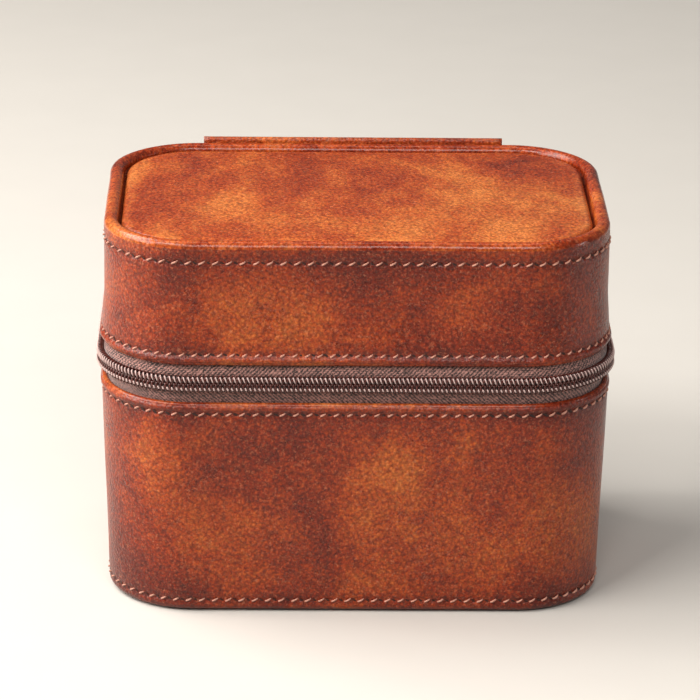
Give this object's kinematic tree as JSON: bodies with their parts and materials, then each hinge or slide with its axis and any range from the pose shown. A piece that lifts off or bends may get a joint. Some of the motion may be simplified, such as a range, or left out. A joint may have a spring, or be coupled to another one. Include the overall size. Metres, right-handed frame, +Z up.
{
  "type": "watch travel case",
  "caption": "Upright rounded leather case on board, with a lid on a back strap hinge, a coil zip round the other sides and two watch pillows inside.",
  "frame": {"origin": "middle of the base, on the table that the case stands on", "axes": "+X to the right across the front, +Y towards the hinge strap at the back, +Z up"},
  "size_m": [0.1344, 0.0904, 0.1026],
  "materials": {
    "tan_leather": "semi-gloss, distressed",
    "panel_leather": "semi-gloss, distressed",
    "dark_leather": "semi-gloss",
    "lining": "microfibre suede",
    "board": "bare board",
    "foam": "soft foam",
    "zip_tape": "woven",
    "zip_coil": "moulded nylon",
    "zip_metal": "antique brass"
  },
  "bodies": {
    "case_body": {"base_panel": "dark_leather", "body_board": "board", "body_leather": "tan_leather", "body_lining": "lining", "collar_board": "board", "divider_board": "board", "divider_cover": "lining", "floor_pad_left": "lining", "floor_pad_right": "lining", "zip_tape_lower": "zip_tape", "zip_coil_lower": "zip_coil", "zip_coil_lower_end": "zip_coil", "zip_stop_lower": "zip_metal", "zip_bottom_stop": "zip_metal", "hinge_strap_body_flap": "tan_leather", "hinge_strap_fold": "tan_leather"},
    "lid": {"hinge_strap_lid_flap": "tan_leather", "lid_board": "board", "lid_leather": "tan_leather", "lid_lining": "lining", "lid_pad": "lining", "rim_filler": "foam", "panel_stiffener": "board", "panel_foam": "foam", "panel_leather": "panel_leather", "zip_tape_upper": "zip_tape", "zip_tape_upper_end_left": "zip_tape", "zip_tape_upper_end_right": "zip_tape", "zip_coil_upper": "zip_coil", "zip_coil_upper_end": "zip_coil", "zip_stop_upper": "zip_metal"},
    "slider": {"zip_slider": "zip_metal", "slider_bridge": "zip_metal"},
    "link": {"pull_link": "zip_metal"},
    "tab": {"pull_tab": "zip_metal"},
    "pillow_left": {"pillow_left_core": "foam", "pillow_left_wrap": "lining", "pillow_left_ends": "lining"},
    "pillow_right": {"pillow_right_core": "foam", "pillow_right_wrap": "lining", "pillow_right_ends": "lining"}
  },
  "joints": [
    {"name": "lid_hinge", "type": "hinge", "parent": "case_body", "child": "lid", "pos_m": [0, 0.04455, 0.0637], "axis": [-1, 0, 0], "range_deg": [0, 110], "deforming": ["hinge_strap_fold", "zip_tape_upper_end_left", "zip_tape_upper_end_right", "zip_coil_upper_end"]},
    {"name": "slider_round_corner", "type": "hinge", "parent": "case_body", "child": "slider", "pos_m": [0.042, 0.02, 0.064], "axis": [0, 0, 1], "range_deg": [-50, 0], "deforming": ["zip_coil_lower_end"]},
    {"name": "link_lift", "type": "hinge", "parent": "slider", "child": "link", "pos_m": [0.06021, 0.04171, 0.064], "axis": [0.766, -0.6428, 0], "range_deg": [0, 80]},
    {"name": "tab_swing", "type": "hinge", "parent": "link", "child": "tab", "pos_m": [0.06021, 0.04171, 0.05756], "axis": [0.6428, 0.766, 0], "range_deg": [-50, 50]},
    {"name": "pillow_left_lift", "type": "slide", "parent": "case_body", "child": "pillow_left", "axis": [0, 0, 1], "range_m": [0, 0.016]},
    {"name": "pillow_right_lift", "type": "slide", "parent": "case_body", "child": "pillow_right", "axis": [0, 0, 1], "range_m": [0, 0.016]}
  ]
}
